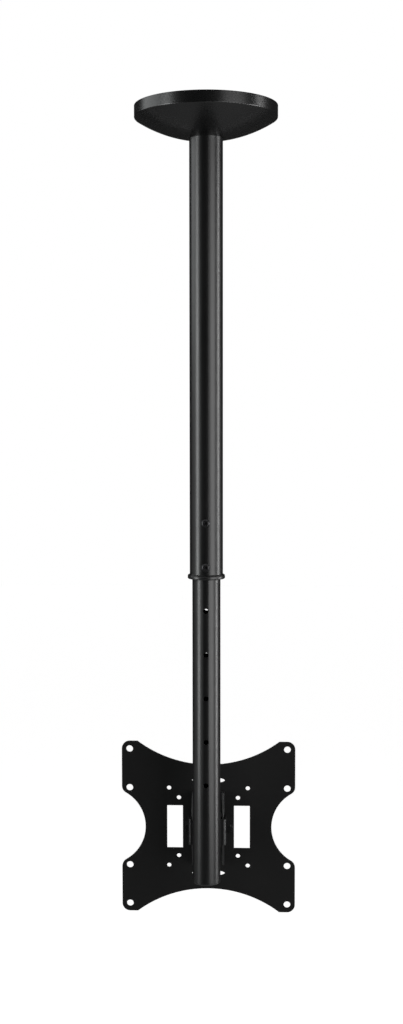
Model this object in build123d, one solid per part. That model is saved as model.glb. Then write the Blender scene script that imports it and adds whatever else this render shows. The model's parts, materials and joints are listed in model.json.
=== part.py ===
from build123d import *
import os
from math import sqrt

# A telescopic ceiling mount for a flat screen, in millimetres.
# The origin is the middle of the ceiling face, +Z is up, and the screen plate is on the +Y side.

# Ceiling plate and the stub welded under it
CEILING_PLATE_THICKNESS = 3.0
ANCHOR_CIRCLE = 120.0
ANCHOR_COUNT = 4
ANCHOR_HOLE = 9.0
SOCKET_LENGTH = 30.0
SOCKET_WALL = 2.5
SOCKET_BOLT_DIAMETER = 6.0
SOCKET_BOLT_FLATS = 10.0
SOCKET_BOLT_HEAD = 4.0
SOCKET_BOLT_DROPS = (9.0, 21.0)

# Ceiling cover
COVER_DIAMETER = 170.0
COVER_WALL = 2.2
COVER_BAND = 13.6
COVER_DEPTH = 37.2
COVER_CROWN = 3.7
COVER_EDGE_RADIUS = 1.6
COVER_CLIP_GAP = 0.3
COVER_TUBE_GAP = 0.4

# Telescopic tubes
INNER_TUBE_DIAMETER = 34.0
INNER_TUBE_WALL = 2.0
INNER_TUBE_LENGTH = 499.3
OUTER_TUBE_WALL = 1.5
OUTER_TUBE_LENGTH = 552.4
TUBE_GAP = 1.5
TUBE_OVERLAP = 123.4
FLARE_HEIGHT = 1.2
FLARE_LIP = 2.3
HOLE_PITCH = 53.0
HOLE_COUNT = 7
HOLE_DIAMETER = 6.4
SCREW_ABOVE_TUBE_END = 10.4
SCREW_COUNT = 2

# Height screws
SCREW_DIAMETER = 6.0
SCREW_HEAD_DIAMETER = 10.4
SCREW_HEAD_HEIGHT = 3.2
SCREW_HEAD_ROUND = 2.2
SCREW_TIP_GAP = 0.3
CROSS_LENGTH = 6.0
CROSS_WIDTH = 1.3
CROSS_DEPTH = 1.6

# Plastic fittings of the tubes
COLLAR_LIP = 2.5
COLLAR_HEIGHT = 4.6
COLLAR_ROUND = 1.4
COLLAR_SPIGOT = 30.0
GLIDE_HEIGHT = 6.0
CAP_THICKNESS = 2.5
CAP_ROUND = 1.2
PLUG_LENGTH = 12.0
PLUG_WALL = 1.8

# Swivel and tilt head
PLATE_ABOVE_TUBE_END = 45.9
TILT_ABOVE_PLATE_CENTRE = 6.0
SWIVEL_REACH = 18.0
TILT_REACH = 11.5
PLATE_REACH = 19.5
LUG_EAR_GAP = 0.4
LUG_NECK = 27.0
LUG_FILLET = 5.0
LUG_THICKNESS = 3.0
SHEET = 2.5
BEND_RADIUS = 1.0
YOKE_WIDTH = 46.6
YOKE_HEIGHT = 32.0
YOKE_BACK = 12.0
YOKE_FLANGE_WIDTH = 25.0
YOKE_RELIEF = 1.5
BRACKET_HEIGHT = 93.0
BRACKET_SHOULDER = 9.0
EAR_NOSE_RADIUS = 16.0
EAR_EDGE_RADIUS = 0.7
PIVOT_DIAMETER = 8.0
PIVOT_FLATS = 13.0
PIVOT_HEAD = 4.5
PIVOT_NUT = 5.0
NUT_COLLAR = 1.8
BOLT_TAIL = 1.0
WASHER_DIAMETER = 16.0
WASHER_THICKNESS = 1.6
FRICTION_DIAMETER = 21.0
FRICTION_THICKNESS = 0.8
TILT_FRICTION_THICKNESS = 0.4
TILT_WASHER_THICKNESS = 0.8
SLEEVE_DIAMETER = 11.0
RIVET_DIAMETER = 5.0
RIVET_HEAD_DIAMETER = 9.0
RIVET_HEAD_HEIGHT = 1.8
RIVET_SPACING_X = 18.0
RIVET_SPACING_Z = 74.0

# Screen plate
PLATE_MARGIN = 10.0
PLATE_THICKNESS = 2.5
PLATE_CORNER = 10.0
PLATE_EDGE_BREAK = 0.4
EDGE_SCOOP_DEPTH = 30.0
EDGE_SCOOP_RADIUS = 150.0
SIDE_SCOOP_DEPTH = 30.0
SIDE_SCOOP_RADIUS = 50.0
LARGE_PATTERNS = ((200.0, 200.0), (200.0, 100.0))
LARGE_HOLE = 8.6
SMALL_PATTERNS = ((100.0, 100.0), (75.0, 75.0))
SMALL_HOLE = 5.6
WINDOW_WIDTH = 20.0
WINDOW_HEIGHT = 55.0
WINDOW_SPACING = 85.0
TIE_SLOT_LENGTH = 41.8
TIE_SLOT_HEIGHT = 8.6
TIE_SLOT_SPACING = 120.0

# Clearances
FIT_GAP = 0.05
RUNNING_GAP = 0.1
BOLT_GAP = 0.2

# Radii that follow from the sizes above
inner_r = INNER_TUBE_DIAMETER / 2
inner_bore_r = inner_r - INNER_TUBE_WALL
outer_bore_r = inner_r + TUBE_GAP
outer_r = outer_bore_r + OUTER_TUBE_WALL
pivot_hole_r = PIVOT_DIAMETER / 2 + RUNNING_GAP

# Heights, all below the ceiling face
tube_top = -CEILING_PLATE_THICKNESS
outer_end = tube_top - OUTER_TUBE_LENGTH
inner_top = outer_end + TUBE_OVERLAP
inner_end = inner_top - INNER_TUBE_LENGTH
lowest_screw = outer_end + SCREW_ABOVE_TUBE_END
highest_screw = lowest_screw + (SCREW_COUNT - 1) * HOLE_PITCH
plate_z = inner_end + PLATE_ABOVE_TUBE_END
head_z = plate_z + TILT_ABOVE_PLATE_CENTRE

# Depths behind the tube's axis
swivel_y = inner_r + SWIVEL_REACH
tilt_y = swivel_y + TILT_REACH
plate_y = tilt_y + PLATE_REACH
bracket_y = plate_y - SHEET
yoke_y = swivel_y - YOKE_BACK

# Half widths and half heights of the head
cheek_outer = YOKE_WIDTH / 2
cheek_inner = cheek_outer - SHEET
ear_outer = cheek_inner - TILT_FRICTION_THICKNESS
ear_inner = ear_outer - SHEET
lug_r = ear_inner - LUG_EAR_GAP
yoke_top = YOKE_HEIGHT / 2
lug_low = yoke_top + FRICTION_THICKNESS
lug_high = lug_low + LUG_THICKNESS
bend_outer = BEND_RADIUS + SHEET

# The screen plate reaches a margin beyond its outermost screw holes
plate_size = LARGE_PATTERNS[0][0] + 2 * PLATE_MARGIN


def ring(outer_radius, inner_radius, low, high):
    """An upright tube on the Z axis, between two heights."""
    return Pos(0, 0, low) * extrude(Circle(outer_radius) - Circle(inner_radius), amount=high - low)


def rod(radius, length, middle, direction):
    """A cylinder centred on a point, along a direction."""
    return Plane(origin=middle, z_dir=direction) * Cylinder(radius, length)


def washer(diameter, bore_radius, thickness, seat, direction):
    """A flat washer that lies on a seat and grows along a direction."""
    flat = extrude(Circle(diameter / 2) - Circle(bore_radius), amount=thickness)
    return Plane(origin=seat, z_dir=direction) * flat


def hexagon(across_flats, height):
    """A hexagon block with its upper corners turned off."""
    block = extrude(RegularPolygon(across_flats / 2, 6, major_radius=False), amount=height)
    corner_radius = across_flats / sqrt(3)
    blank = extrude(Circle(corner_radius), amount=height)
    turned_off = corner_radius - across_flats / 2
    return block & chamfer(blank.faces().sort_by(Axis.Z)[-1].edges(), turned_off)


def hex_bolt(diameter, across_flats, head_height, length, seat, direction):
    """A hexagon bolt whose head stands on a seat and points along a direction."""
    shank = Pos(0, 0, -length) * extrude(Circle(diameter / 2), amount=length)
    return Plane(origin=seat, z_dir=direction) * (hexagon(across_flats, head_height) + shank)


def lock_nut(diameter, across_flats, height, seat, direction):
    """A hexagon nut with a round locking collar, standing on a seat."""
    collar_r = (diameter + across_flats) / 4
    collar = extrude(Circle(collar_r), amount=height + NUT_COLLAR)
    collar = fillet(collar.faces().sort_by(Axis.Z)[-1].edges(), NUT_COLLAR / 3)
    bore = Cylinder(diameter / 2 + FIT_GAP, 4 * height)
    return Plane(origin=seat, z_dir=direction) * (hexagon(across_flats, height) + collar - bore)


# Ceiling end

def ceiling_plate():
    radius = COVER_DIAMETER / 2 - COVER_WALL - COVER_CLIP_GAP
    disc = Pos(0, 0, tube_top) * extrude(Circle(radius), amount=CEILING_PLATE_THICKNESS)
    anchors = PolarLocations(ANCHOR_CIRCLE / 2, ANCHOR_COUNT, start_angle=45)
    return disc - anchors * Cylinder(ANCHOR_HOLE / 2, 4 * CEILING_PLATE_THICKNESS)


def socket_bolt_lines():
    """Height and direction of each cross bolt in the tube's top."""
    directions = (Vector(1, 0, 0), Vector(0, 1, 0))
    return [(Vector(0, 0, tube_top - drop), way) for drop, way in zip(SOCKET_BOLT_DROPS, directions)]


def socket_bolt_holes():
    radius = SOCKET_BOLT_DIAMETER / 2 + BOLT_GAP
    return [rod(radius, 4 * outer_r, middle, way) for middle, way in socket_bolt_lines()]


def pole_socket():
    radius = outer_bore_r - FIT_GAP
    return ring(radius, radius - SOCKET_WALL, tube_top - SOCKET_LENGTH, tube_top) - socket_bolt_holes()


def socket_bolts():
    length = 2 * outer_r + SOCKET_BOLT_HEAD + NUT_COLLAR + BOLT_TAIL
    return [
        hex_bolt(SOCKET_BOLT_DIAMETER, SOCKET_BOLT_FLATS, SOCKET_BOLT_HEAD, length, middle - way * outer_r, -way)
        for middle, way in socket_bolt_lines()
    ]


def socket_nuts():
    return [
        lock_nut(SOCKET_BOLT_DIAMETER, SOCKET_BOLT_FLATS, SOCKET_BOLT_HEAD, middle + way * outer_r, way)
        for middle, way in socket_bolt_lines()
    ]


def cover_form(rim_radius, depth):
    """The cover's turned form as a filled body: a straight band, then a crowned cone."""
    band_end = (rim_radius, -COVER_BAND)
    dome_end = (outer_r + COVER_TUBE_GAP, -depth)
    sides = Polyline((0, -depth), (0, 0), (rim_radius, 0), band_end)
    dome = SagittaArc(band_end, dome_end, COVER_CROWN)
    floor = Line(dome_end, (0, -depth))
    section = make_face([*sides.edges(), dome, floor])
    band_corner = section.vertices().group_by(Axis.X)[-1].sort_by(Axis.Y)[0]
    section = fillet(band_corner, COVER_EDGE_RADIUS)
    return revolve(Plane.XZ * section, Axis.Z)


def ceiling_cover():
    rim_radius = COVER_DIAMETER / 2
    outside = cover_form(rim_radius, COVER_DEPTH)
    inside = cover_form(rim_radius - COVER_WALL, COVER_DEPTH - COVER_WALL)
    return outside - inside - Cylinder(outer_r + COVER_TUBE_GAP, 4 * COVER_DEPTH)


# Telescopic tubes

def screw_heights():
    return [lowest_screw + step * HOLE_PITCH for step in range(SCREW_COUNT)]


def flare_cone(radius):
    """A filled cone that widens from a radius down to the flared tube end."""
    cone = Cone(radius + FLARE_LIP, radius, FLARE_HEIGHT, align=(Align.CENTER, Align.CENTER, Align.MIN))
    return Pos(0, 0, outer_end) * cone


def outer_tube():
    """The upper tube, with a flared lower end that seats the collar."""
    tube = ring(outer_r, outer_bore_r, outer_end, tube_top) - socket_bolt_holes()
    tube = tube + flare_cone(outer_r) - flare_cone(outer_bore_r)
    radius = SCREW_DIAMETER / 2 + FIT_GAP
    return tube - [rod(radius, 4 * OUTER_TUBE_WALL, (0, -outer_r, z), (0, 1, 0)) for z in screw_heights()]


def tube_collar():
    """A plastic bush: a round flange under the tube, a cone in its flare and a spigot in its bore."""
    bore_r = inner_r + RUNNING_GAP
    spigot_r = outer_bore_r - FIT_GAP
    flange = ring(outer_r + COLLAR_LIP, bore_r, outer_end - COLLAR_HEIGHT, outer_end)
    rims = flange.edges().filter_by(GeomType.CIRCLE).group_by(SortBy.RADIUS)[-1]
    flange = fillet(rims, COLLAR_ROUND)
    seat = flare_cone(spigot_r) - rod(bore_r, 4 * FLARE_HEIGHT, (0, 0, outer_end), (0, 0, 1))
    spigot = ring(spigot_r, bore_r, outer_end, outer_end + COLLAR_SPIGOT)
    screw_way = rod(SCREW_DIAMETER / 2 + BOLT_GAP, 8 * TUBE_GAP, (0, -inner_r, lowest_screw), (0, 1, 0))
    return flange + seat + spigot - screw_way


def height_screw(z):
    """A cross-recess pan-head screw in the front of the outer tube."""
    head = extrude(Circle(SCREW_HEAD_DIAMETER / 2), amount=SCREW_HEAD_HEIGHT)
    head = fillet(head.faces().sort_by(Axis.Z)[-1].edges(), SCREW_HEAD_ROUND)
    slot = Pos(0, 0, SCREW_HEAD_HEIGHT) * Box(CROSS_LENGTH, CROSS_WIDTH, 2 * CROSS_DEPTH)
    length = OUTER_TUBE_WALL + TUBE_GAP - SCREW_TIP_GAP
    shank = Pos(0, 0, -length) * extrude(Circle(SCREW_DIAMETER / 2), amount=length)
    return Plane(origin=(0, -outer_r, z), z_dir=(0, -1, 0)) * (head - slot - Rot(0, 0, 90) * slot + shank)


def height_screws():
    return [height_screw(z) for z in screw_heights()]


def inner_tube():
    """The drop tube, with a row of holes drilled right through both walls."""
    tube = ring(inner_r, inner_bore_r, inner_end, inner_top)
    heights = [highest_screw - step * HOLE_PITCH for step in range(HOLE_COUNT)]
    return tube - [rod(HOLE_DIAMETER / 2, 4 * inner_r, (0, 0, z), (0, 1, 0)) for z in heights]


def glide_bush():
    plug_r = inner_bore_r - FIT_GAP
    glide = ring(outer_bore_r - RUNNING_GAP, plug_r - PLUG_WALL, inner_top, inner_top + GLIDE_HEIGHT)
    return glide + ring(plug_r, plug_r - PLUG_WALL, inner_top - PLUG_LENGTH, inner_top)


def tube_end_cap():
    plug_r = inner_bore_r - FIT_GAP
    cap = Pos(0, 0, inner_end - CAP_THICKNESS) * extrude(Circle(inner_r), amount=CAP_THICKNESS)
    cap = fillet(cap.faces().sort_by(Axis.Z)[0].edges(), CAP_ROUND)
    return cap + ring(plug_r, plug_r - PLUG_WALL, inner_end, inner_end + PLUG_LENGTH)


# Swivel

def swivel_lug(low):
    """A round lug whose hollowed neck fits the back of the drop tube."""
    face = Pos(0, swivel_y / 2) * Rectangle(LUG_NECK, swivel_y) + Pos(0, swivel_y) * Circle(lug_r)
    neck_corners = [v for v in face.vertices() if 0 < v.Y < swivel_y]
    face = fillet(neck_corners, LUG_FILLET)
    face -= Circle(inner_r + FIT_GAP)
    face -= Pos(0, swivel_y) * Circle(pivot_hole_r)
    return Pos(0, 0, low) * extrude(face, amount=LUG_THICKNESS)


def upper_swivel_lug():
    return swivel_lug(head_z + lug_low)


def lower_swivel_lug():
    return swivel_lug(head_z - lug_high)


def swivel_pair(diameter, bore_radius, thickness, distance):
    """One washer above the middle of the head and one below, each growing outwards from its seat."""
    return [
        washer(diameter, bore_radius, thickness, (0, swivel_y, head_z + side * distance), (0, 0, side))
        for side in (1, -1)
    ]


def swivel_friction_washers():
    return swivel_pair(FRICTION_DIAMETER, pivot_hole_r, FRICTION_THICKNESS, yoke_top)


def swivel_washers():
    return swivel_pair(WASHER_DIAMETER, pivot_hole_r, WASHER_THICKNESS, lug_high)


def pivot_bolt(seat_distance, middle, direction):
    """A pivot bolt with its head out along a direction, long enough for its nut on the far side."""
    length = 2 * seat_distance + PIVOT_NUT + NUT_COLLAR + BOLT_TAIL
    seat = middle + direction * seat_distance
    return hex_bolt(PIVOT_DIAMETER, PIVOT_FLATS, PIVOT_HEAD, length, seat, direction)


def swivel_bolt():
    return pivot_bolt(lug_high + WASHER_THICKNESS, Vector(0, swivel_y, head_z), Vector(0, 0, 1))


def swivel_nut():
    seat = (0, swivel_y, head_z - lug_high - WASHER_THICKNESS)
    return lock_nut(PIVOT_DIAMETER, PIVOT_FLATS, PIVOT_NUT, seat, (0, 0, -1))


def swivel_sleeve():
    reach = yoke_top - SHEET
    return Pos(0, swivel_y, 0) * ring(SLEEVE_DIAMETER / 2, pivot_hole_r, head_z - reach, head_z + reach)


def folded_channel(half_width, length):
    """Section of a folded channel, with its web on the local X axis and its sides along +Y."""
    outside = Pos(0, length / 2) * Rectangle(2 * half_width, length)
    outside = fillet(outside.vertices().group_by(Axis.Y)[0], bend_outer)
    inside = Pos(0, SHEET + length / 2) * Rectangle(2 * (half_width - SHEET), length)
    return outside - fillet(inside.vertices().group_by(Axis.Y)[0], BEND_RADIUS)


def swivel_yoke():
    """A folded tray: two upright cheeks for the tilt bolt, two level flanges for the swivel bolt."""
    reach = tilt_y + yoke_top - yoke_y
    level = Plane(origin=(0, yoke_y, head_z - yoke_top), z_dir=(0, 0, 1))
    cheeks = extrude(level * folded_channel(cheek_outer, reach), amount=YOKE_HEIGHT)
    side = Plane(origin=(-YOKE_WIDTH, 0, head_z), x_dir=(0, 1, 0), z_dir=(1, 0, 0))
    run = tilt_y - yoke_y
    side_form = Pos(yoke_y + run / 2, 0) * Rectangle(run, YOKE_HEIGHT) + Pos(tilt_y, 0) * Circle(yoke_top)
    cheeks &= extrude(side * side_form, amount=2 * YOKE_WIDTH)

    relief_width = YOKE_FLANGE_WIDTH + 2 * YOKE_RELIEF
    for up in (1, -1):
        relief = Box(relief_width, 4 * bend_outer, 2 * bend_outer)
        cheeks -= Pos(0, yoke_y, head_z + up * yoke_top) * relief

    flange_half = YOKE_FLANGE_WIDTH / 2
    flange_reach = YOKE_BACK + flange_half
    upright = Plane(origin=(-flange_half, yoke_y, head_z), x_dir=(0, 0, -1), z_dir=(1, 0, 0))
    flanges = extrude(upright * folded_channel(yoke_top, flange_reach), amount=YOKE_FLANGE_WIDTH)
    run = swivel_y - yoke_y
    flange_form = Pos(0, yoke_y + run / 2) * Rectangle(YOKE_FLANGE_WIDTH, run)
    flange_form += Pos(0, swivel_y) * Circle(flange_half)
    flanges &= Pos(0, 0, head_z - YOKE_HEIGHT) * extrude(flange_form, amount=2 * YOKE_HEIGHT)

    yoke = cheeks + flanges
    yoke -= rod(pivot_hole_r, 2 * YOKE_HEIGHT, (0, swivel_y, head_z), (0, 0, 1))
    return yoke - rod(pivot_hole_r, 2 * YOKE_WIDTH, (0, tilt_y, head_z), (1, 0, 0))


# Tilt

def tilt_pair(diameter, bore_radius, thickness, distance):
    """One washer on each side of the head, each growing outwards from its seat."""
    return [
        washer(diameter, bore_radius, thickness, (side * distance, tilt_y, head_z), (side, 0, 0))
        for side in (1, -1)
    ]


def tilt_friction_washers():
    return tilt_pair(FRICTION_DIAMETER, pivot_hole_r, TILT_FRICTION_THICKNESS, ear_outer)


def tilt_washers():
    return tilt_pair(WASHER_DIAMETER, pivot_hole_r, TILT_WASHER_THICKNESS, cheek_outer)


def tilt_bolt():
    return pivot_bolt(cheek_outer + TILT_WASHER_THICKNESS, Vector(0, tilt_y, head_z), Vector(-1, 0, 0))


def tilt_nut():
    seat = (cheek_outer + TILT_WASHER_THICKNESS, tilt_y, head_z)
    return lock_nut(PIVOT_DIAMETER, PIVOT_FLATS, PIVOT_NUT, seat, (1, 0, 0))


def tilt_sleeve():
    tube = extrude(Circle(SLEEVE_DIAMETER / 2) - Circle(pivot_hole_r), amount=2 * ear_inner)
    return Plane(origin=(-ear_inner, tilt_y, head_z), z_dir=(1, 0, 0)) * tube


def rivet_places():
    return GridLocations(RIVET_SPACING_X, RIVET_SPACING_Z, 2, 2)


def screen_plane(depth):
    """A plane that faces the pole, centred on the screen plate at a depth behind the tube's axis."""
    return Plane(origin=(0, depth, plate_z), x_dir=(1, 0, 0), z_dir=(0, -1, 0))


def tilt_bracket():
    """A folded channel with its web on the screen plate and its ears narrowing to the tilt bolt."""
    reach = plate_y - tilt_y + EAR_NOSE_RADIUS
    level = Plane(origin=(0, plate_y, plate_z - BRACKET_HEIGHT / 2), x_dir=(-1, 0, 0), z_dir=(0, 0, 1))
    channel = extrude(level * folded_channel(ear_outer, reach), amount=BRACKET_HEIGHT)
    side = Plane(origin=(-2 * ear_outer, 0, plate_z), x_dir=(0, 1, 0), z_dir=(1, 0, 0))
    shoulder = Pos(plate_y - BRACKET_SHOULDER / 2, 0) * Rectangle(BRACKET_SHOULDER, BRACKET_HEIGHT)
    nose = Pos(tilt_y, TILT_ABOVE_PLATE_CENTRE) * Circle(EAR_NOSE_RADIUS)
    ears = make_hull([*shoulder.edges(), *nose.edges()])
    channel &= extrude(side * ears, amount=4 * ear_outer)
    bend_y = plate_y - bend_outer
    ear_edges = [
        edge for edge in channel.edges()
        if abs(edge.center().X) > ear_inner - FIT_GAP and edge.bounding_box().max.Y < bend_y - FIT_GAP
        and edge.bounding_box().size.X < FIT_GAP
    ]
    channel = fillet(ear_edges, EAR_EDGE_RADIUS)
    channel -= rod(pivot_hole_r, 4 * ear_outer, (0, tilt_y, head_z), (1, 0, 0))
    holes = rivet_places() * Cylinder(RIVET_DIAMETER / 2 + FIT_GAP, 4 * SHEET)
    return channel - [screen_plane(plate_y) * hole for hole in holes]


def bracket_rivets():
    length = SHEET + PLATE_THICKNESS
    head = extrude(Circle(RIVET_HEAD_DIAMETER / 2), amount=RIVET_HEAD_HEIGHT)
    head = fillet(head.faces().sort_by(Axis.Z)[-1].edges(), RIVET_HEAD_HEIGHT * 0.9)
    rivet = head + Pos(0, 0, -length) * extrude(Circle(RIVET_DIAMETER / 2), amount=length)
    return [screen_plane(bracket_y) * (place * rivet) for place in rivet_places()]


# Screen plate

def plate_outline():
    half = plate_size / 2
    outline = fillet(Rectangle(plate_size, plate_size).vertices(), PLATE_CORNER)
    for side in (1, -1):
        outline -= Pos(0, side * (half - EDGE_SCOOP_DEPTH + EDGE_SCOOP_RADIUS)) * Circle(EDGE_SCOOP_RADIUS)
        outline -= Pos(side * (half - SIDE_SCOOP_DEPTH + SIDE_SCOOP_RADIUS), 0) * Circle(SIDE_SCOOP_RADIUS)
    waist = [v for v in outline.vertices() if abs(v.Y) < SIDE_SCOOP_RADIUS]
    return fillet(waist, PLATE_CORNER)


def vesa_plate():
    blank = extrude(screen_plane(plate_y + PLATE_THICKNESS) * plate_outline(), amount=PLATE_THICKNESS)
    outer_edges = [edge for face in blank.faces().filter_by(Axis.Y) for edge in face.edges()]
    blank = chamfer(outer_edges, PLATE_EDGE_BREAK)

    cuts = Sketch()
    for patterns, hole in ((LARGE_PATTERNS, LARGE_HOLE), (SMALL_PATTERNS, SMALL_HOLE)):
        for across, up in patterns:
            cuts += GridLocations(across, up, 2, 2) * Circle(hole / 2)
    cuts += GridLocations(WINDOW_SPACING, 0, 2, 1) * Rectangle(WINDOW_WIDTH, WINDOW_HEIGHT)
    cuts += GridLocations(0, TIE_SLOT_SPACING, 1, 2) * Ellipse(TIE_SLOT_LENGTH / 2, TIE_SLOT_HEIGHT / 2)
    cuts += rivet_places() * Circle(RIVET_DIAMETER / 2 + FIT_GAP)
    return blank - extrude(screen_plane(plate_y) * cuts, amount=2 * PLATE_THICKNESS, both=True)


NODES = (
    ceiling_plate,
    pole_socket,
    socket_bolts,
    socket_nuts,
    ceiling_cover,
    outer_tube,
    tube_collar,
    height_screws,
    inner_tube,
    glide_bush,
    tube_end_cap,
    upper_swivel_lug,
    lower_swivel_lug,
    swivel_bolt,
    swivel_nut,
    swivel_washers,
    swivel_friction_washers,
    swivel_yoke,
    swivel_sleeve,
    tilt_bolt,
    tilt_nut,
    tilt_washers,
    tilt_friction_washers,
    tilt_sleeve,
    tilt_bracket,
    bracket_rivets,
    vesa_plate,
)

os.makedirs("parts", exist_ok=True)
for make in NODES:
    shape = make()
    if isinstance(shape, list):
        shape = Compound(children=shape)
    export_step(shape, f"parts/{make.__name__}.step")
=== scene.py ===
import json
from math import atan2, cos, pi, radians, sin, sqrt

import bmesh
import bpy
from bpy.props import FloatProperty, FloatVectorProperty, IntProperty, PointerProperty
from mathutils import Matrix, Vector


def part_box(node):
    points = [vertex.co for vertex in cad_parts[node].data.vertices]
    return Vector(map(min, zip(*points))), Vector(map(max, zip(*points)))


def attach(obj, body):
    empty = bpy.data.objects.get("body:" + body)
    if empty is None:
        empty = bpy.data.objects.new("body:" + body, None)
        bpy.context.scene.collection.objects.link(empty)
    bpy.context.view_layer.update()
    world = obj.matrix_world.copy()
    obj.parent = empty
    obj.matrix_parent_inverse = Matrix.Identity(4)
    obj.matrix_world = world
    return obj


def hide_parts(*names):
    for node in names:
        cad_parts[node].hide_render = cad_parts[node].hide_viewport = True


bl_info = {
    "name": "TV Ceiling Mount",
    "version": (1, 0, 0),
    "blender": (4, 5, 0),
    "location": "View3D > Sidebar > Ceiling Mount",
    "description": "Finishes a telescopic TV ceiling mount and sets up its studio",
    "category": "Object",
}

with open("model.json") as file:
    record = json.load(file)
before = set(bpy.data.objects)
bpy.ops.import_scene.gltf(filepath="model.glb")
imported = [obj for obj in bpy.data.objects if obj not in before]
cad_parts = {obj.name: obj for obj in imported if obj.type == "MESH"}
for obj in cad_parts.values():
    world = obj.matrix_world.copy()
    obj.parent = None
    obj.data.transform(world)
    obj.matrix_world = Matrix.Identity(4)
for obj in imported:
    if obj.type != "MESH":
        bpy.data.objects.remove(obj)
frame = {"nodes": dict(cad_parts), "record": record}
nodes = frame["nodes"]
slot_of = {row["node"]: row["material_slot"] for row in frame["record"]["subparts"]}
body_of = {
    node: body
    for body, members in frame["record"]["behaviour"]["bodies"].items()
    for node in members
}

UP = Vector((0, 0, 1))
LEFT = Vector((-1, 0, 0))
FRONT = Vector((0, -1, 0))


# Sizes read from the frame, in metres

def middle(node):
    """The middle of a node's box."""
    low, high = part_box(node)
    return (low + high) / 2


def span(node):
    """The size of a node's box."""
    low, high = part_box(node)
    return high - low


tube_radius = span("inner_tube").x / 2

# The lower end of the outer tube is flared, so its upper half gives its radius
half_height = middle("outer_tube").z
outer_radius = max(v.co.x for v in nodes["outer_tube"].data.vertices if v.co.z > half_height)


# Settings that a user would change

class MountFinishes(bpy.types.PropertyGroup):
    """Colours and gloss of the mount's finishes."""

    tube_colour: FloatVectorProperty(
        name="Tube Colour", description="Powder coat on the two tubes",
        subtype="COLOR", size=4, min=0, max=1, default=(0.0022, 0.0023, 0.0024, 1))
    tube_roughness: FloatProperty(
        name="Tube Roughness", description="Gloss of the coat on the tubes, lower is glossier",
        subtype="FACTOR", min=0, max=1, default=0.33)
    frame_colour: FloatVectorProperty(
        name="Bracket Colour", description="Powder coat on the folded and welded steel",
        subtype="COLOR", size=4, min=0, max=1, default=(0.0036, 0.0037, 0.0038, 1))
    frame_roughness: FloatProperty(
        name="Bracket Roughness", description="Gloss of the coat on the brackets, lower is glossier",
        subtype="FACTOR", min=0, max=1, default=0.34)
    plate_colour: FloatVectorProperty(
        name="Plate Colour", description="Powder coat on the screen plate",
        subtype="COLOR", size=4, min=0, max=1, default=(0.0028, 0.0028, 0.0028, 1))
    plate_roughness: FloatProperty(
        name="Plate Roughness", description="Gloss of the coat on the screen plate, lower is glossier",
        subtype="FACTOR", min=0, max=1, default=0.45)
    cover_colour: FloatVectorProperty(
        name="Cover Colour", description="Moulded plastic of the ceiling cover",
        subtype="COLOR", size=4, min=0, max=1, default=(0.0028, 0.0029, 0.0030, 1))
    cover_roughness: FloatProperty(
        name="Cover Roughness", description="Gloss of the ceiling cover, lower is glossier",
        subtype="FACTOR", min=0, max=1, default=0.27)
    nylon_colour: FloatVectorProperty(
        name="Nylon Colour", description="Plastic of the collar, glide, cap and friction washers",
        subtype="COLOR", size=4, min=0, max=1, default=(0.0045, 0.0045, 0.0046, 1))
    nylon_roughness: FloatProperty(
        name="Nylon Roughness", description="Gloss of the plastic fittings, lower is glossier",
        subtype="FACTOR", min=0, max=1, default=0.34)
    zinc_colour: FloatVectorProperty(
        name="Black Zinc Colour", description="Plating on the bolts, nuts, washers and rivets",
        subtype="COLOR", size=4, min=0, max=1, default=(0.0045, 0.0045, 0.0047, 1))
    zinc_roughness: FloatProperty(
        name="Black Zinc Roughness", description="Gloss of the plating, lower is glossier",
        subtype="FACTOR", min=0, max=1, default=0.5)
    screw_colour: FloatVectorProperty(
        name="Screw Colour", description="Plating on the two height screws",
        subtype="COLOR", size=4, min=0, max=1, default=(0.030, 0.030, 0.0315, 1))
    screw_roughness: FloatProperty(
        name="Screw Roughness", description="Gloss of the two height screws, lower is glossier",
        subtype="FACTOR", min=0, max=1, default=0.32)


class MountSizes(bpy.types.PropertyGroup):
    """Sizes of the pieces that are modelled over the frame."""

    bead_radius: FloatProperty(
        name="Weld Bead Radius", description="Radius of the weld beads on the lugs",
        unit="LENGTH", min=0.0005, default=0.0019)
    bead_ripple: FloatProperty(
        name="Weld Ripple", description="Height of the ripples along a bead",
        unit="LENGTH", min=0, default=0.00025)
    bead_ripples: IntProperty(
        name="Ripples", description="Number of ripples along a bead", min=3, default=17)
    bead_reach: FloatProperty(
        name="Weld Reach", description="How far a bead runs round the tube to each side",
        unit="ROTATION", subtype="ANGLE", min=0.1, default=radians(49))
    thread_depth: FloatProperty(
        name="Thread Depth", description="Depth of a thread as a share of its pitch",
        subtype="FACTOR", min=0, max=1, default=0.55)
    recess_width: FloatProperty(
        name="Recess Width", description="Width of the cross recess across its wings",
        unit="LENGTH", min=0.001, default=0.0058)
    recess_wing: FloatProperty(
        name="Recess Wing", description="Thickness of one wing of the cross recess",
        unit="LENGTH", min=0.0003, default=0.0013)


class MountStudio(bpy.types.PropertyGroup):
    """Camera, floor and lamps."""

    camera_place: FloatVectorProperty(
        name="Camera Place", description="Where the camera stands",
        subtype="TRANSLATION", unit="LENGTH", default=(0.05845, -1.65819, -0.36616))
    camera_turn: FloatVectorProperty(
        name="Camera Turn", description="How the camera is turned",
        subtype="EULER", unit="ROTATION",
        default=(radians(86.0863), radians(0.0606), radians(2.2153)))
    camera_lens: FloatProperty(
        name="Lens", description="Focal length in millimetres on a 36 mm picture",
        min=1, default=48.574)
    floor_drop: FloatProperty(
        name="Floor Drop", description="How far the floor lies under the ceiling face",
        unit="LENGTH", min=1, default=2.4)
    lamp_distance: FloatProperty(
        name="Lamp Distance", description="How far the lamps stand from the pole",
        unit="LENGTH", min=0.5, default=2.2)
    fill: FloatProperty(
        name="Fill", description="Strength of the even light from all around",
        min=0, default=0.2)


# Materials

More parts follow.
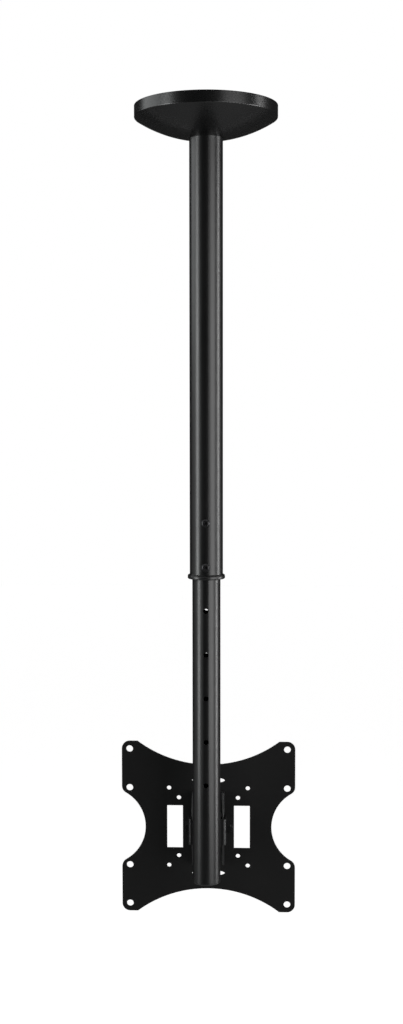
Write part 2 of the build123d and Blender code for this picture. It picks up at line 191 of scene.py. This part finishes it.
class Value:
    """A socket in a node tree. Arithmetic on it adds Math nodes."""

    def __init__(self, finish, socket):
        self.finish = finish
        self.socket = socket

    def __add__(self, other):
        return self.finish.math("ADD", self, other)

    def __radd__(self, other):
        return self.finish.math("ADD", other, self)

    def __mul__(self, other):
        return self.finish.math("MULTIPLY", self, other)

    def __rmul__(self, other):
        return self.finish.math("MULTIPLY", other, self)


class Finish:
    """A node tree that is being built, with one method for every kind of node."""

    def __init__(self, tree):
        self.tree = tree

    def node(self, kind, settings=None, inputs=None, output=0):
        """Add a node: first its settings, then the values or links of its sockets."""
        made = self.tree.nodes.new(kind)
        for key, value in (settings or {}).items():
            if key == "stops":
                self.set_stops(made.color_ramp, value)
            else:
                setattr(made, key, value)
        for key, value in (inputs or {}).items():
            self.feed(made.inputs[key], value)
        return Value(self, made.outputs[output])

    def set_stops(self, ramp, stops):
        """Give a colour ramp its grey stops, each a place and a level."""
        while len(ramp.elements) < len(stops):
            ramp.elements.new(1)
        for element, (place, level) in zip(ramp.elements, stops):
            element.position = place
            element.color = (level, level, level, 1)

    def feed(self, socket, value):
        """Link a value to a socket, or set a plain number or colour on it."""
        if isinstance(value, Value):
            self.tree.links.new(value.socket, socket)
        else:
            socket.default_value = value

    def math(self, operation, first, second):
        """One step of arithmetic."""
        return self.node("ShaderNodeMath", {"operation": operation}, {0: first, 1: second})

    def fade(self, value, start, end, low=0.0, high=1.0):
        """A number that goes from low to high while a value goes from start to end."""
        return self.node("ShaderNodeMapRange", None, {0: value, 1: start, 2: end, 3: low, 4: high})

    def blend(self, share, first, second):
        """A colour between two colours, by the colour sockets of a Mix node."""
        inputs = {0: share, 6: first, 7: second}
        return self.node("ShaderNodeMix", {"data_type": "RGBA"}, inputs, output=2)

    def grey(self, level):
        """A grey of a level from 0 to 1."""
        return self.blend(level, (0, 0, 0, 1), (1, 1, 1, 1))

    def mottle(self, share, colour, dark, light):
        """A colour between a darker and a lighter tone of itself."""
        return self.blend(share, shade(colour, dark), shade(colour, light))

    def place(self, stretch=(1, 1, 1)):
        """Object coordinates in metres, stretched along the axes."""
        coordinates = self.node("ShaderNodeTexCoord", output="Object")
        return self.node("ShaderNodeMapping", None, {"Vector": coordinates, "Scale": stretch})

    def along(self, axis):
        """One of the object coordinates."""
        return self.node("ShaderNodeSeparateXYZ", None, {0: self.place()}, output=axis)

    def noise(self, scale, detail, stretch=(1, 1, 1)):
        """Soft noise from 0 to 1, with scale lumps to a metre."""
        inputs = {"Vector": self.place(stretch), "Scale": scale, "Detail": detail}
        return self.node("ShaderNodeTexNoise", None, inputs)

    def bump(self, height, distance, normal=None):
        """A normal that follows a height, over another normal if one is given."""
        inputs = {"Height": height, "Distance": distance}
        if normal:
            inputs["Normal"] = normal
        return self.node("ShaderNodeBump", None, inputs)

    def round_edges(self, radius):
        """A normal that rounds the edges of sheet as paint does."""
        return self.node("ShaderNodeBevel", {"samples": 6}, {"Radius": radius})


def shade(colour, factor):
    """A colour made lighter or darker."""
    return tuple(channel * factor for channel in colour[:3]) + (1,)


def new_finish(name, specular):
    """A new material with its shader and its node tree, and its specular level set."""
    material = bpy.data.materials.new(name)
    material.use_nodes = True
    shader = material.node_tree.nodes["Principled BSDF"]
    shader.inputs["Specular IOR Level"].default_value = specular
    return material, shader, Finish(material.node_tree)


def powder_coat(name, colour, roughness, specular, peel, grain_stretch=(1, 1, 1)):
    """Black powder coat: soft orange peel, a fine grain, and a slightly uneven tone and gloss."""
    material, shader, make = new_finish(name, specular)
    cloud = make.noise(scale=9.0, detail=3.0)
    waves = make.noise(scale=260.0, detail=2.0)
    grain = make.noise(scale=1500.0, detail=1.0, stretch=grain_stretch)
    dust = make.noise(scale=900.0, detail=0.0)
    specks = make.node("ShaderNodeValToRGB", {"stops": ((0.70, 0.0), (0.80, 1.0))}, {"Fac": dust})
    tone = make.mottle(cloud, colour, dark=0.8, light=1.2)
    skin = make.bump(waves + grain * 0.35, distance=peel, normal=make.round_edges(radius=0.0005))
    make.feed(shader.inputs["Base Color"], make.blend(specks * 0.35, tone, shade(colour, 2.2)))
    make.feed(shader.inputs["Roughness"], roughness - 0.06 + cloud * 0.06 + grain * 0.06)
    make.feed(shader.inputs["Normal"], skin)
    return material


def moulded_plastic(name, colour, roughness, specular):
    """Satin moulding: fine spark-eroded texture and faint turned rings from the mould."""
    material, shader, make = new_finish(name, specular)
    cloud = make.noise(scale=14.0, detail=3.0)
    pits = make.node("ShaderNodeTexVoronoi", None, {"Vector": make.place(), "Scale": 1300.0})
    rings = make.node("ShaderNodeTexWave", {"wave_type": "RINGS", "rings_direction": "Z"},
                      {"Vector": make.place(), "Scale": 120.0, "Distortion": 0.4, "Detail": 1.0})
    gloss = roughness - 0.05 + cloud * 0.06 + rings * 0.01 + pits * 0.04
    make.feed(shader.inputs["Base Color"], make.mottle(cloud, colour, dark=0.82, light=1.18))
    make.feed(shader.inputs["Roughness"], gloss)
    make.feed(shader.inputs["Normal"], make.bump(pits + rings * 0.25, distance=0.000005))
    return material


def nylon(name, colour, roughness, specular):
    """Matt nylon with a soft mottled skin."""
    material, shader, make = new_finish(name, specular)
    cloud = make.noise(scale=60.0, detail=3.0)
    skin = make.noise(scale=1100.0, detail=2.0)
    make.feed(shader.inputs["Base Color"], make.mottle(cloud, colour, dark=0.75, light=1.25))
    make.feed(shader.inputs["Roughness"], roughness - 0.05 + cloud * 0.1)
    make.feed(shader.inputs["Normal"], make.bump(skin, distance=0.00003))
    return material


def black_zinc(name, colour, roughness, metal):
    """Black plating on steel: a little cloudy, with fine tool marks and a share of metal sheen."""
    material, shader, make = new_finish(name, specular=0.15)
    cloud = make.noise(scale=180.0, detail=4.0)
    marks = make.noise(scale=900.0, detail=2.0, stretch=(1, 1, 6))
    skin = make.bump(marks, distance=0.00001, normal=make.round_edges(radius=0.0004))
    make.feed(shader.inputs["Base Color"], make.mottle(cloud, colour, dark=0.65, light=1.5))
    make.feed(shader.inputs["Metallic"], metal + cloud * 0.2)
    make.feed(shader.inputs["Roughness"], roughness - 0.08 + cloud * 0.1 + marks * 0.06)
    make.feed(shader.inputs["Normal"], skin)
    return material


def dress_slot(slot, material):
    """Give all nodes of one material slot their finish."""
    for node, name in slot_of.items():
        if name == slot:
            nodes[node].data.materials.clear()
            nodes[node].data.materials.append(material)


def finish_named(name):
    """A finish that an earlier button has made."""
    material = bpy.data.materials.get(name)
    if material is None:
        raise RuntimeError(f"There is no {name} yet: press the finish buttons first")
    return material


# Modelling steps

MERGE_GAP = 1e-6


def begin():
    """Back to object mode with nothing selected, so that operators act on the new piece alone."""
    if bpy.context.object and bpy.context.object.mode != "OBJECT":
        bpy.ops.object.mode_set(mode="OBJECT")
    bpy.ops.object.select_all(action="DESELECT")


def edit():
    """Into edit mode with all of the piece selected."""
    bpy.ops.object.mode_set(mode="EDIT")
    bpy.ops.mesh.select_all(action="SELECT")


def pick(wanted):
    """In edit mode, select the vertices for which wanted(place) is true."""
    bpy.ops.mesh.select_mode(type="VERT")
    mesh = bmesh.from_edit_mesh(bpy.context.object.data)
    for vertex in mesh.verts:
        vertex.select_set(wanted(vertex.co))
    mesh.select_flush(True)
    bmesh.update_edit_mesh(bpy.context.object.data)


def close_up():
    """Merge doubles, turn the faces outwards and return to object mode."""
    bpy.ops.mesh.select_all(action="SELECT")
    bpy.ops.mesh.remove_doubles(threshold=MERGE_GAP)
    bpy.ops.mesh.normals_make_consistent(inside=False)
    bpy.ops.object.mode_set(mode="OBJECT")


def keep_place():
    """Move the place and turn of the selected piece into its mesh."""
    bpy.ops.object.transform_apply(location=True, rotation=True, scale=True)


def draw(points):
    """A chain of edges in the XZ plane, drawn from one vertex by extrusion. Leaves edit mode on."""
    begin()
    places = [Vector((x, 0, z)) for x, z in points]
    bpy.ops.mesh.primitive_plane_add(size=tube_radius, location=(0, 0, 0))
    edit()
    bpy.ops.mesh.merge(type="CENTER")
    bpy.ops.transform.translate(value=places[0])
    for start, end in zip(places, places[1:]):
        bpy.ops.mesh.extrude_vertices_move(TRANSFORM_OT_translate={"value": end - start})


def lathe(points, steps):
    """A turned piece about the Z axis."""
    draw(points)
    bpy.ops.mesh.select_all(action="SELECT")
    bpy.ops.mesh.spin(steps=steps, angle=2 * pi, center=(0, 0, 0), axis=UP)
    close_up()
    return bpy.context.object


def apply_modifier(piece, kind, settings):
    """Add a modifier to a piece and apply it."""
    bpy.context.view_layer.objects.active = piece
    modifier = piece.modifiers.new(kind.title(), kind)
    for key, value in settings.items():
        setattr(modifier, key, value)
    bpy.ops.object.modifier_apply(modifier=modifier.name)


def carve(piece, cutter, operation):
    """Cut a piece with another one, and delete the cutter."""
    begin()
    piece.select_set(True)
    apply_modifier(piece, "BOOLEAN", {"object": cutter, "operation": operation, "solver": "EXACT"})
    bpy.data.objects.remove(cutter)


def join(pieces):
    """Join pieces into the first one."""
    begin()
    for piece in pieces:
        piece.select_set(True)
    bpy.context.view_layer.objects.active = pieces[0]
    bpy.ops.object.join()
    return pieces[0]


def take(piece):
    """Select one piece alone and make it the active one."""
    begin()
    piece.select_set(True)
    bpy.context.view_layer.objects.active = piece


def stand(piece, place, direction):
    """Turn a piece from +Z to a direction, move it to a place, and keep that in its mesh."""
    take(piece)
    turn = UP.rotation_difference(direction)
    piece.matrix_world = Matrix.Translation(place) @ turn.to_matrix().to_4x4()
    keep_place()


def finish_piece(piece, name, material, stands_for, smooth_angle=radians(32)):
    """Name, smooth and dress a piece, and tie it to the body of the node it belongs to."""
    take(piece)
    bpy.ops.object.shade_smooth_by_angle(angle=smooth_angle)
    piece.name = name
    piece.data.name = name
    piece.data.materials.clear()
    piece.data.materials.append(material)
    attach(piece, body_of[stands_for])


def settings_of(context):
    """The finishes, the sizes and the studio's settings."""
    return context.scene.mount_finishes, context.scene.mount_sizes, context.scene.mount_studio


# Operators, one for each piece or group of like pieces

class MOUNT_OT_finish_tubes(bpy.types.Operator):
    """Semi-gloss powder coat on the outer tube and the drop tube"""

    bl_idname = "mount.finish_tubes"
    bl_label = "Finish Tubes"

    def execute(self, context):
        finishes, _, _ = settings_of(context)
        coat = powder_coat("tube_powder_coat", finishes.tube_colour, finishes.tube_roughness,
                           specular=0.5, peel=0.000006, grain_stretch=(1, 1, 0.05))
        dress_slot("tube_paint", coat)
        return {"FINISHED"}


class MOUNT_OT_finish_brackets(bpy.types.Operator):
    """Satin powder coat on the welded and folded steel of the head and the ceiling end"""

    bl_idname = "mount.finish_brackets"
    bl_label = "Finish Brackets"

    def execute(self, context):
        finishes, _, _ = settings_of(context)
        coat = powder_coat("bracket_powder_coat", finishes.frame_colour, finishes.frame_roughness,
                           specular=0.5, peel=0.00003)
        dress_slot("frame_paint", coat)
        return {"FINISHED"}


class MOUNT_OT_finish_screen_plate(bpy.types.Operator):
    """Satin powder coat on the flat screen plate"""

    bl_idname = "mount.finish_screen_plate"
    bl_label = "Finish Screen Plate"

    def execute(self, context):
        finishes, _, _ = settings_of(context)
        coat = powder_coat("plate_powder_coat", finishes.plate_colour, finishes.plate_roughness,
                           specular=0.3, peel=0.00004)
        dress_slot("plate_paint", coat)
        return {"FINISHED"}


class MOUNT_OT_finish_cover(bpy.types.Operator):
    """Satin moulded plastic on the ceiling cover"""

    bl_idname = "mount.finish_cover"
    bl_label = "Finish Ceiling Cover"

    def execute(self, context):
        finishes, _, _ = settings_of(context)
        plastic = moulded_plastic("cover_moulding", finishes.cover_colour, finishes.cover_roughness,
                                  specular=0.5)
        dress_slot("cover_plastic", plastic)
        return {"FINISHED"}


class MOUNT_OT_finish_fittings(bpy.types.Operator):
    """Matt nylon on the collar, the glide, the end cap and the friction washers"""

    bl_idname = "mount.finish_fittings"
    bl_label = "Finish Plastic Fittings"

    def execute(self, context):
        finishes, _, _ = settings_of(context)
        plastic = nylon("black_nylon", finishes.nylon_colour, finishes.nylon_roughness, specular=0.5)
        dress_slot("fitting_plastic", plastic)
        return {"FINISHED"}


class MOUNT_OT_finish_fasteners(bpy.types.Operator):
    """Black zinc on the nuts, washers, sleeves and rivets"""

    bl_idname = "mount.finish_fasteners"
    bl_label = "Finish Fasteners"

    def execute(self, context):
        finishes, _, _ = settings_of(context)
        plating = black_zinc("fastener_plating", finishes.zinc_colour, finishes.zinc_roughness, metal=0.1)
        dress_slot("black_zinc", plating)
        return {"FINISHED"}


BEAD_SIDES = 12
RINGS_PER_RIPPLE = 4
END_TAPER = (0.35, 0.75)


def pick_ring(angle, reach):
    """In edit mode, select the ring of a bead that lies at an angle round the tube."""
    pick(lambda place: abs(atan2(place.y, place.x) - angle) < reach)


def taper_ring(angle, share, reach):
    """In edit mode, draw one ring of a bead together about its own middle."""
    pick_ring(angle, reach)
    heights = [v.co.z for v in bmesh.from_edit_mesh(bpy.context.object.data).verts if v.select]
    centre = Vector((tube_radius * cos(angle), tube_radius * sin(angle), sum(heights) / len(heights)))
    bpy.ops.transform.resize(value=(share, share, share), center_override=centre)


def weld_bead(sizes, height):
    """A bead round the back of the drop tube, with ripples along it and tapered ends."""
    start = pi / 2 - sizes.bead_reach
    rings = RINGS_PER_RIPPLE * sizes.bead_ripples
    step = 2 * sizes.bead_reach / rings
    begin()
    bpy.ops.mesh.primitive_circle_add(
        vertices=BEAD_SIDES, radius=sizes.bead_radius, rotation=(pi / 2, 0, start),
        location=(tube_radius * cos(start), tube_radius * sin(start), height))
    bead = bpy.context.object
    keep_place()
    edit()
    bpy.ops.mesh.spin(steps=rings, angle=-2 * sizes.bead_reach, center=(0, 0, 0), axis=UP)
    bpy.ops.mesh.select_all(action="SELECT")
    bpy.ops.mesh.fill_holes(sides=0)
    bpy.ops.mesh.normals_make_consistent(inside=False)
    for ring in range(RINGS_PER_RIPPLE // 2, rings, RINGS_PER_RIPPLE):
        pick_ring(start + ring * step, step / 2)
        bpy.ops.transform.shrink_fatten(value=sizes.bead_ripple)
    for ring, share in enumerate(END_TAPER):
        taper_ring(start + ring * step, share, step / 2)
        taper_ring(start + (rings - ring) * step, share, step / 2)
    close_up()
    return bead


class MOUNT_OT_add_weld_beads(bpy.types.Operator):
    """Rippled weld beads where the two lugs meet the back of the drop tube"""

    bl_idname = "mount.add_weld_beads"
    bl_label = "Add Weld Beads"

    SMOOTH_ANGLE = radians(80)

    def execute(self, context):
        _, sizes, _ = settings_of(context)
        coat = finish_named("bracket_powder_coat")
        upper = weld_bead(sizes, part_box("upper_swivel_lug")[1].z)
        finish_piece(upper, "upper_weld_bead", coat, "upper_swivel_lug", self.SMOOTH_ANGLE)
        lower = weld_bead(sizes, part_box("lower_swivel_lug")[0].z)
        finish_piece(lower, "lower_weld_bead", coat, "lower_swivel_lug", self.SMOOTH_ANGLE)
        return {"FINISHED"}


# A pan head from its middle to its seat, as shares of its radius and height
PAN_PROFILE = (
    (0, 1), (0.36, 0.985), (0.63, 0.93), (0.82, 0.80), (0.94, 0.58), (1, 0.28), (0.985, 0.08), (0.95, 0))
SHANK_SHARE = 0.56
RECESS_DEPTH = 0.55
RECESS_CONE = 0.28
WING_TAPER = (0.5, 0.7, 1)


def cross_wing(sizes, top, depth, turn):
    """One wing of a cross recess, narrower at its bottom, as a cutter."""
    begin()
    bpy.ops.mesh.primitive_cube_add(size=1, location=(0, 0, 0))
    wing = bpy.context.object
    edit()
    wing_size = (sizes.recess_width, sizes.recess_wing, 2 * depth)
    bpy.ops.transform.resize(value=wing_size, center_override=(0, 0, 0))
    pick(lambda place: place.z < 0)
    bpy.ops.transform.resize(value=WING_TAPER, center_override=(0, 0, 0))
    bpy.ops.object.mode_set(mode="OBJECT")
    wing.matrix_world = Matrix.Translation((0, 0, top)) @ Matrix.Rotation(turn, 4, "Z")
    keep_place()
    return wing


def pan_screw(sizes, radius, head, shank):
    """A cross-recess pan-head screw along +Z, with its seat at the origin."""
    shank_radius = radius * SHANK_SHARE
    tip = shank_radius / 5
    profile = [(x * radius, z * head) for x, z in PAN_PROFILE]
    profile += [(shank_radius, 0), (shank_radius, tip - shank)]
    profile += [(shank_radius - tip, -shank), (0, -shank)]
    screw = lathe(profile, steps=48)
    depth = RECESS_DEPTH * head
    for turn in (0, pi / 2):
        carve(screw, cross_wing(sizes, head, depth, turn), "DIFFERENCE")
    cone = sizes.recess_width * RECESS_CONE
    bottom = head - depth
    above = 2 * head
    cutter = lathe([(0, above), (cone, above), (cone, head), (cone / 2, bottom), (0, bottom)], steps=24)
    carve(screw, cutter, "DIFFERENCE")
    return screw


class MOUNT_OT_add_height_screws(bpy.types.Operator):
    """Cross-recess pan-head screws that lock the drop tube"""

    bl_idname = "mount.add_height_screws"
    bl_label = "Add Height Screws"

    TURNS = (radians(22), radians(52))

    def execute(self, context):
        finishes, sizes, _ = settings_of(context)
        plating = black_zinc("screw_plating", finishes.screw_colour, finishes.screw_roughness, metal=0.75)
        low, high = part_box("height_screws")
        radius = (high.x - low.x) / 2
        head = -outer_radius - low.y
        shank = high.y + outer_radius
        heights = (high.z - radius, low.z + radius)
        for number, (height, turn) in enumerate(zip(heights, self.TURNS), 1):
            screw = pan_screw(sizes, radius, head, shank)
            screw.rotation_euler = (0, 0, turn)
            keep_place()
            stand(screw, Vector((0, -outer_radius, height)), FRONT)
            finish_piece(screw, f"height_screw_{number}", plating, "height_screws")
            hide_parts("height_screws")
        return {"FINISHED"}


# The turned corners of a hexagon head, by the circle on its top and the fall outside that
TURNED_SHARE = 0.48
TURNED_FALL = 0.58
THREADED_SHARE = 0.3
STEPS_TO_A_TURN = 28


def rolled_thread(radius, pitch, depth, turns):
    """A closed length of screw thread up the Z axis from the origin."""
    root = radius - depth
    flank = (pitch * 0.1, pitch * 0.45)
    draw([(root, 0), (root, flank[0]), (radius, flank[1]), (radius, pitch * 0.65), (root, pitch)])
    bpy.ops.object.mode_set(mode="OBJECT")
    thread = bpy.context.object
    apply_modifier(thread, "SCREW", {"screw_offset": pitch, "iterations": turns, "steps": STEPS_TO_A_TURN,
                                     "render_steps": STEPS_TO_A_TURN, "use_merge_vertices": True})
    edit()
    bpy.ops.mesh.remove_doubles(threshold=MERGE_GAP)
    bpy.ops.mesh.select_all(action="SELECT")
    bpy.ops.mesh.fill_holes(sides=0)
    close_up()
    return thread


def hexagon_head(flats, height):
    """A hexagon head on the origin, with its upper corners turned off."""
    corner = flats / sqrt(3)
    begin()
    bpy.ops.mesh.primitive_circle_add(
        vertices=6, radius=corner, fill_type="NGON", rotation=(0, 0, pi / 2))
    head = bpy.context.object
    keep_place()
    edit()
    bpy.ops.mesh.extrude_region_move(TRANSFORM_OT_translate={"value": (0, 0, height)})
    close_up()
    turned = TURNED_SHARE * flats
    reach = 2 * corner
    foot = height - (reach - turned) * TURNED_FALL
    blank = lathe([(0, -height), (reach, -height), (reach, foot), (turned, height), (0, height)], steps=72)
    carve(head, blank, "INTERSECT")
    return head


def threaded_bolt(sizes, diameter, pitch, flats, head, length):
    """A hexagon bolt along +Z with its seat at the origin, threaded up to a tapered tip."""
    radius = diameter / 2
    depth = sizes.thread_depth * pitch
    turns = int(THREADED_SHARE * length / pitch)
    thread = rolled_thread(radius, pitch, depth, turns)
    stand(thread, Vector((0, 0, -length - pitch / 2)), UP)
    run_out = -length + (turns - 1.5) * pitch
    clear = radius * 1.2
    tip = radius - 1.2 * depth
    blank = lathe([(0, run_out), (clear, run_out), (clear, -length + 1.4 * depth), (tip, -length),
                   (0, -length)], steps=48)
    carve(thread, blank, "INTERSECT")
    core = radius - depth
    core_end = run_out - 2 * pitch
    shank = lathe([(0, 0), (radius, 0), (radius, run_out + pitch), (core, run_out - depth),
                   (core, core_end), (0, core_end)], steps=48)
    return join([hexagon_head(flats, head), shank, thread])


class MOUNT_OT_add_bolts(bpy.types.Operator):
    """Threaded hexagon bolts in the swivel, in the tilt pivot and through the tube's top"""

    bl_idname = "mount.add_bolts"
    bl_label = "Add Threaded Bolts"

    # Diameter, pitch and width across the flats, in metres
    PIVOT = (0.008, 0.00125, 0.013)
    SOCKET = (0.006, 0.001, 0.010)

    def execute(self, context):
        low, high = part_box("swivel_bolt")
        seat = middle("swivel_bolt")
        seat.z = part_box("swivel_washers")[1].z
        self.add(context, "swivel_bolt", "", self.PIVOT, high.z - seat.z, seat.z - low.z, seat, UP)

        low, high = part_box("tilt_bolt")
        seat = middle("tilt_bolt")
        seat.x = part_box("tilt_washers")[0].x
        self.add(context, "tilt_bolt", "", self.PIVOT, seat.x - low.x, high.x - seat.x, seat, LEFT)

        low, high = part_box("socket_bolts")
        corner = self.SOCKET[2] / sqrt(3)
        head = -outer_radius - low.x
        length = high.x + outer_radius
        upper = Vector((-outer_radius, 0, high.z - corner))
        lower = Vector((0, -outer_radius, low.z + corner))
        self.add(context, "socket_bolts", "_1", self.SOCKET, head, length, upper, LEFT)
        self.add(context, "socket_bolts", "_2", self.SOCKET, head, length, lower, FRONT)
        return {"FINISHED"}

    def add(self, context, node, number, size, head, length, seat, direction):
        _, sizes, _ = settings_of(context)
        bolt = threaded_bolt(sizes, *size, head, length)
        stand(bolt, seat, direction)
        finish_piece(bolt, f"threaded_{node}{number}", finish_named("fastener_plating"), node)
        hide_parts(node)


class MOUNT_OT_set_studio(bpy.types.Operator):
    """Pale floor, white surroundings, soft lamps, a dark drape for the reflections, and the camera"""

    bl_idname = "mount.set_studio"
    bl_label = "Set Studio"

    # Name, azimuth in degrees, width, height, level, watts and colour
    LAMPS = (
        ("left_strip", -63.5, 0.60, 1.78, -0.49, 31.9, (0.98, 1.0, 1.0)),
        ("left_upper", -97.0, 1.6, 1.3, 0.50, 15.0, (0.97, 1.0, 1.0)),
        ("left_low", -97.0, 1.6, 1.5, -0.95, 2.6, (1.0, 1.0, 1.0)),
        ("right_soft", 44.0, 1.42, 1.98, -0.59, 37.5, (1.0, 1.0, 1.0)),
        ("right_strip", 92.0, 0.50, 1.98, -0.59, 33.3, (1.0, 1.0, 1.0)),
    )
    FLOOR_SIZE = 30
    FLOOR_COLOUR = (0.85, 0.85, 0.85, 1)
    GLOW_REACH = 2.3
    GLOW = (0.5, 0.78)
    PANEL_SIDES = 72
    DRAPE_RADIUS = 3.2
    DRAPE_HEIGHT = 4.6
    DRAPE_LEVEL = -0.2
    DRAPE_GREY = 0.02
    BACK_GREY = 0.02
    BACK_REACH = (0.8, 2.6)
    FOOT_GREY = 0.05
    FOOT_REACH = (0.1, -2.2)
    CARD_RADIUS = 3.1
    CARD_RISE = 0.02
    CARD_GREY = 0.45

    def execute(self, context):
        _, _, studio = settings_of(context)
        self.add_camera(context, studio)
        self.add_floor(studio)
        self.add_world(context, studio)
        self.add_drape()
        self.add_card(studio)
        for lamp in self.LAMPS:
            self.add_lamp(studio, *lamp)
        context.scene.view_settings.view_transform = "Standard"
        return {"FINISHED"}

    def add_camera(self, context, studio):
        begin()
        bpy.ops.object.camera_add(location=studio.camera_place, rotation=studio.camera_turn)
        camera = context.object
        camera.name = "photo_camera"
        camera.data.lens = studio.camera_lens
        context.scene.camera = camera

    def add_floor(self, studio):
        """A pale floor that looks white, a little less so under the mount."""
        begin()
        bpy.ops.mesh.primitive_plane_add(size=self.FLOOR_SIZE, location=(0, 0, -studio.floor_drop))
        floor = bpy.context.object
        floor.name = "studio_floor"
        material, shader, make = new_finish("studio_floor", specular=0.5)
        shader.inputs["Base Color"].default_value = self.FLOOR_COLOUR
        shader.inputs["Roughness"].default_value = 0.9
        shader.inputs["Emission Strength"].default_value = 1.0
        distance = make.node(
            "ShaderNodeVectorMath", {"operation": "LENGTH"}, {0: make.place()}, output="Value")
        glow = make.fade(distance, 0.0, self.GLOW_REACH, *self.GLOW)
        make.feed(shader.inputs["Emission Color"], make.grey(self.seen_directly(make) * glow))
        floor.data.materials.append(material)

    def add_drape(self):
        """A dark drape around the set, lighter behind the pole and there towards its foot."""
        begin()
        bpy.ops.mesh.primitive_cylinder_add(
            vertices=self.PANEL_SIDES, radius=self.DRAPE_RADIUS, depth=self.DRAPE_HEIGHT,
            end_fill_type="NOTHING", location=(0, 0, self.DRAPE_LEVEL))
        panel = bpy.context.object
        panel.name = "studio_drape"
        shader, make = self.hide_but_in_gloss(panel)
        behind = make.fade(make.along("Y"), *self.BACK_REACH)
        low = make.fade(make.along("Z"), *self.FOOT_REACH)
        level = self.DRAPE_GREY + behind * (self.BACK_GREY + low * self.FOOT_GREY)
        make.feed(shader.inputs["Base Color"], make.grey(level))

    def add_card(self, studio):
        """A grey card just over the floor."""
        begin()
        bpy.ops.mesh.primitive_circle_add(
            vertices=self.PANEL_SIDES, radius=self.CARD_RADIUS, fill_type="NGON",
            location=(0, 0, -studio.floor_drop + self.CARD_RISE))
        panel = bpy.context.object
        panel.name = "studio_card"
        shader, _ = self.hide_but_in_gloss(panel)
        shader.inputs["Base Color"].default_value = (self.CARD_GREY, self.CARD_GREY, self.CARD_GREY, 1)

    def hide_but_in_gloss(self, panel):
        """Give a panel of the studio a matt finish, and let only reflections show it."""
        material, shader, make = new_finish(panel.name, specular=0.0)
        shader.inputs["Roughness"].default_value = 1.0
        panel.data.materials.append(material)
        panel.visible_camera = False
        panel.visible_diffuse = False
        panel.visible_transmission = False
        panel.visible_shadow = False
        return shader, make

    def seen_directly(self, make):
        """1 for camera rays and for what shows in gloss and glass, else 0."""
        camera = make.node("ShaderNodeLightPath", output="Is Camera Ray")
        glossy = make.node("ShaderNodeLightPath", output="Is Glossy Ray")
        through = make.node("ShaderNodeLightPath", output="Is Transmission Ray")
        return camera + glossy + through

    def add_world(self, context, studio):
        """White surroundings, and a weaker even light on the object."""
        world = bpy.data.worlds.new("studio_world")
        world.use_nodes = True
        context.scene.world = world
        make = Finish(world.node_tree)
        seen = self.seen_directly(make)
        background = world.node_tree.nodes["Background"]
        background.inputs["Color"].default_value = (1, 1, 1, 1)
        make.feed(background.inputs["Strength"], seen * (1 - studio.fill) + studio.fill)

    def add_lamp(self, studio, name, azimuth, width, height, level, power, colour):
        """A lamp that faces the pole. Azimuth 0 is the camera's side, and it grows to the right."""
        turn = radians(azimuth) + studio.camera_turn[2]
        reach = studio.lamp_distance
        begin()
        bpy.ops.object.light_add(type="AREA", location=(sin(turn) * reach, -cos(turn) * reach, level))
        lamp = bpy.context.object
        lamp.name = name
        lamp.data.shape = "RECTANGLE"
        lamp.data.size = width
        lamp.data.size_y = height
        lamp.data.energy = power
        lamp.data.color = colour
        lamp.visible_camera = False
        inwards = Vector((0, 0, level)) - lamp.location
        lamp.rotation_euler = inwards.to_track_quat("-Z", "Y").to_euler()


class MOUNT_PT_panel(bpy.types.Panel):
    """Buttons and settings of the ceiling mount"""

    bl_idname = "MOUNT_PT_panel"
    bl_label = "Ceiling Mount"
    bl_space_type = "VIEW_3D"
    bl_region_type = "UI"
    bl_category = "Ceiling Mount"

    def draw(self, context):
        for operator in OPERATORS:
            self.layout.operator(operator.bl_idname)
        for group in settings_of(context):
            box = self.layout.box()
            for name in group.__annotations__:
                box.prop(group, name)


SETTINGS = (MountFinishes, MountSizes, MountStudio)
OPERATORS = (
    MOUNT_OT_finish_tubes,
    MOUNT_OT_finish_brackets,
    MOUNT_OT_finish_screen_plate,
    MOUNT_OT_finish_cover,
    MOUNT_OT_finish_fittings,
    MOUNT_OT_finish_fasteners,
    MOUNT_OT_add_weld_beads,
    MOUNT_OT_add_height_screws,
    MOUNT_OT_add_bolts,
    MOUNT_OT_set_studio,
)


def register():
    for group in SETTINGS + OPERATORS + (MOUNT_PT_panel,):
        bpy.utils.register_class(group)
    bpy.types.Scene.mount_finishes = PointerProperty(type=MountFinishes)
    bpy.types.Scene.mount_sizes = PointerProperty(type=MountSizes)
    bpy.types.Scene.mount_studio = PointerProperty(type=MountStudio)


def unregister():
    del bpy.types.Scene.mount_studio
    del bpy.types.Scene.mount_sizes
    del bpy.types.Scene.mount_finishes
    for group in reversed(SETTINGS + OPERATORS + (MOUNT_PT_panel,)):
        bpy.utils.unregister_class(group)


def main():
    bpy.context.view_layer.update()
    register()
    bpy.ops.mount.finish_tubes()
    bpy.ops.mount.finish_brackets()
    bpy.ops.mount.finish_screen_plate()
    bpy.ops.mount.finish_cover()
    bpy.ops.mount.finish_fittings()
    bpy.ops.mount.finish_fasteners()
    bpy.ops.mount.add_weld_beads()
    bpy.ops.mount.add_height_screws()
    bpy.ops.mount.add_bolts()
    bpy.ops.mount.set_studio()


if __name__ == "__main__":
    main()
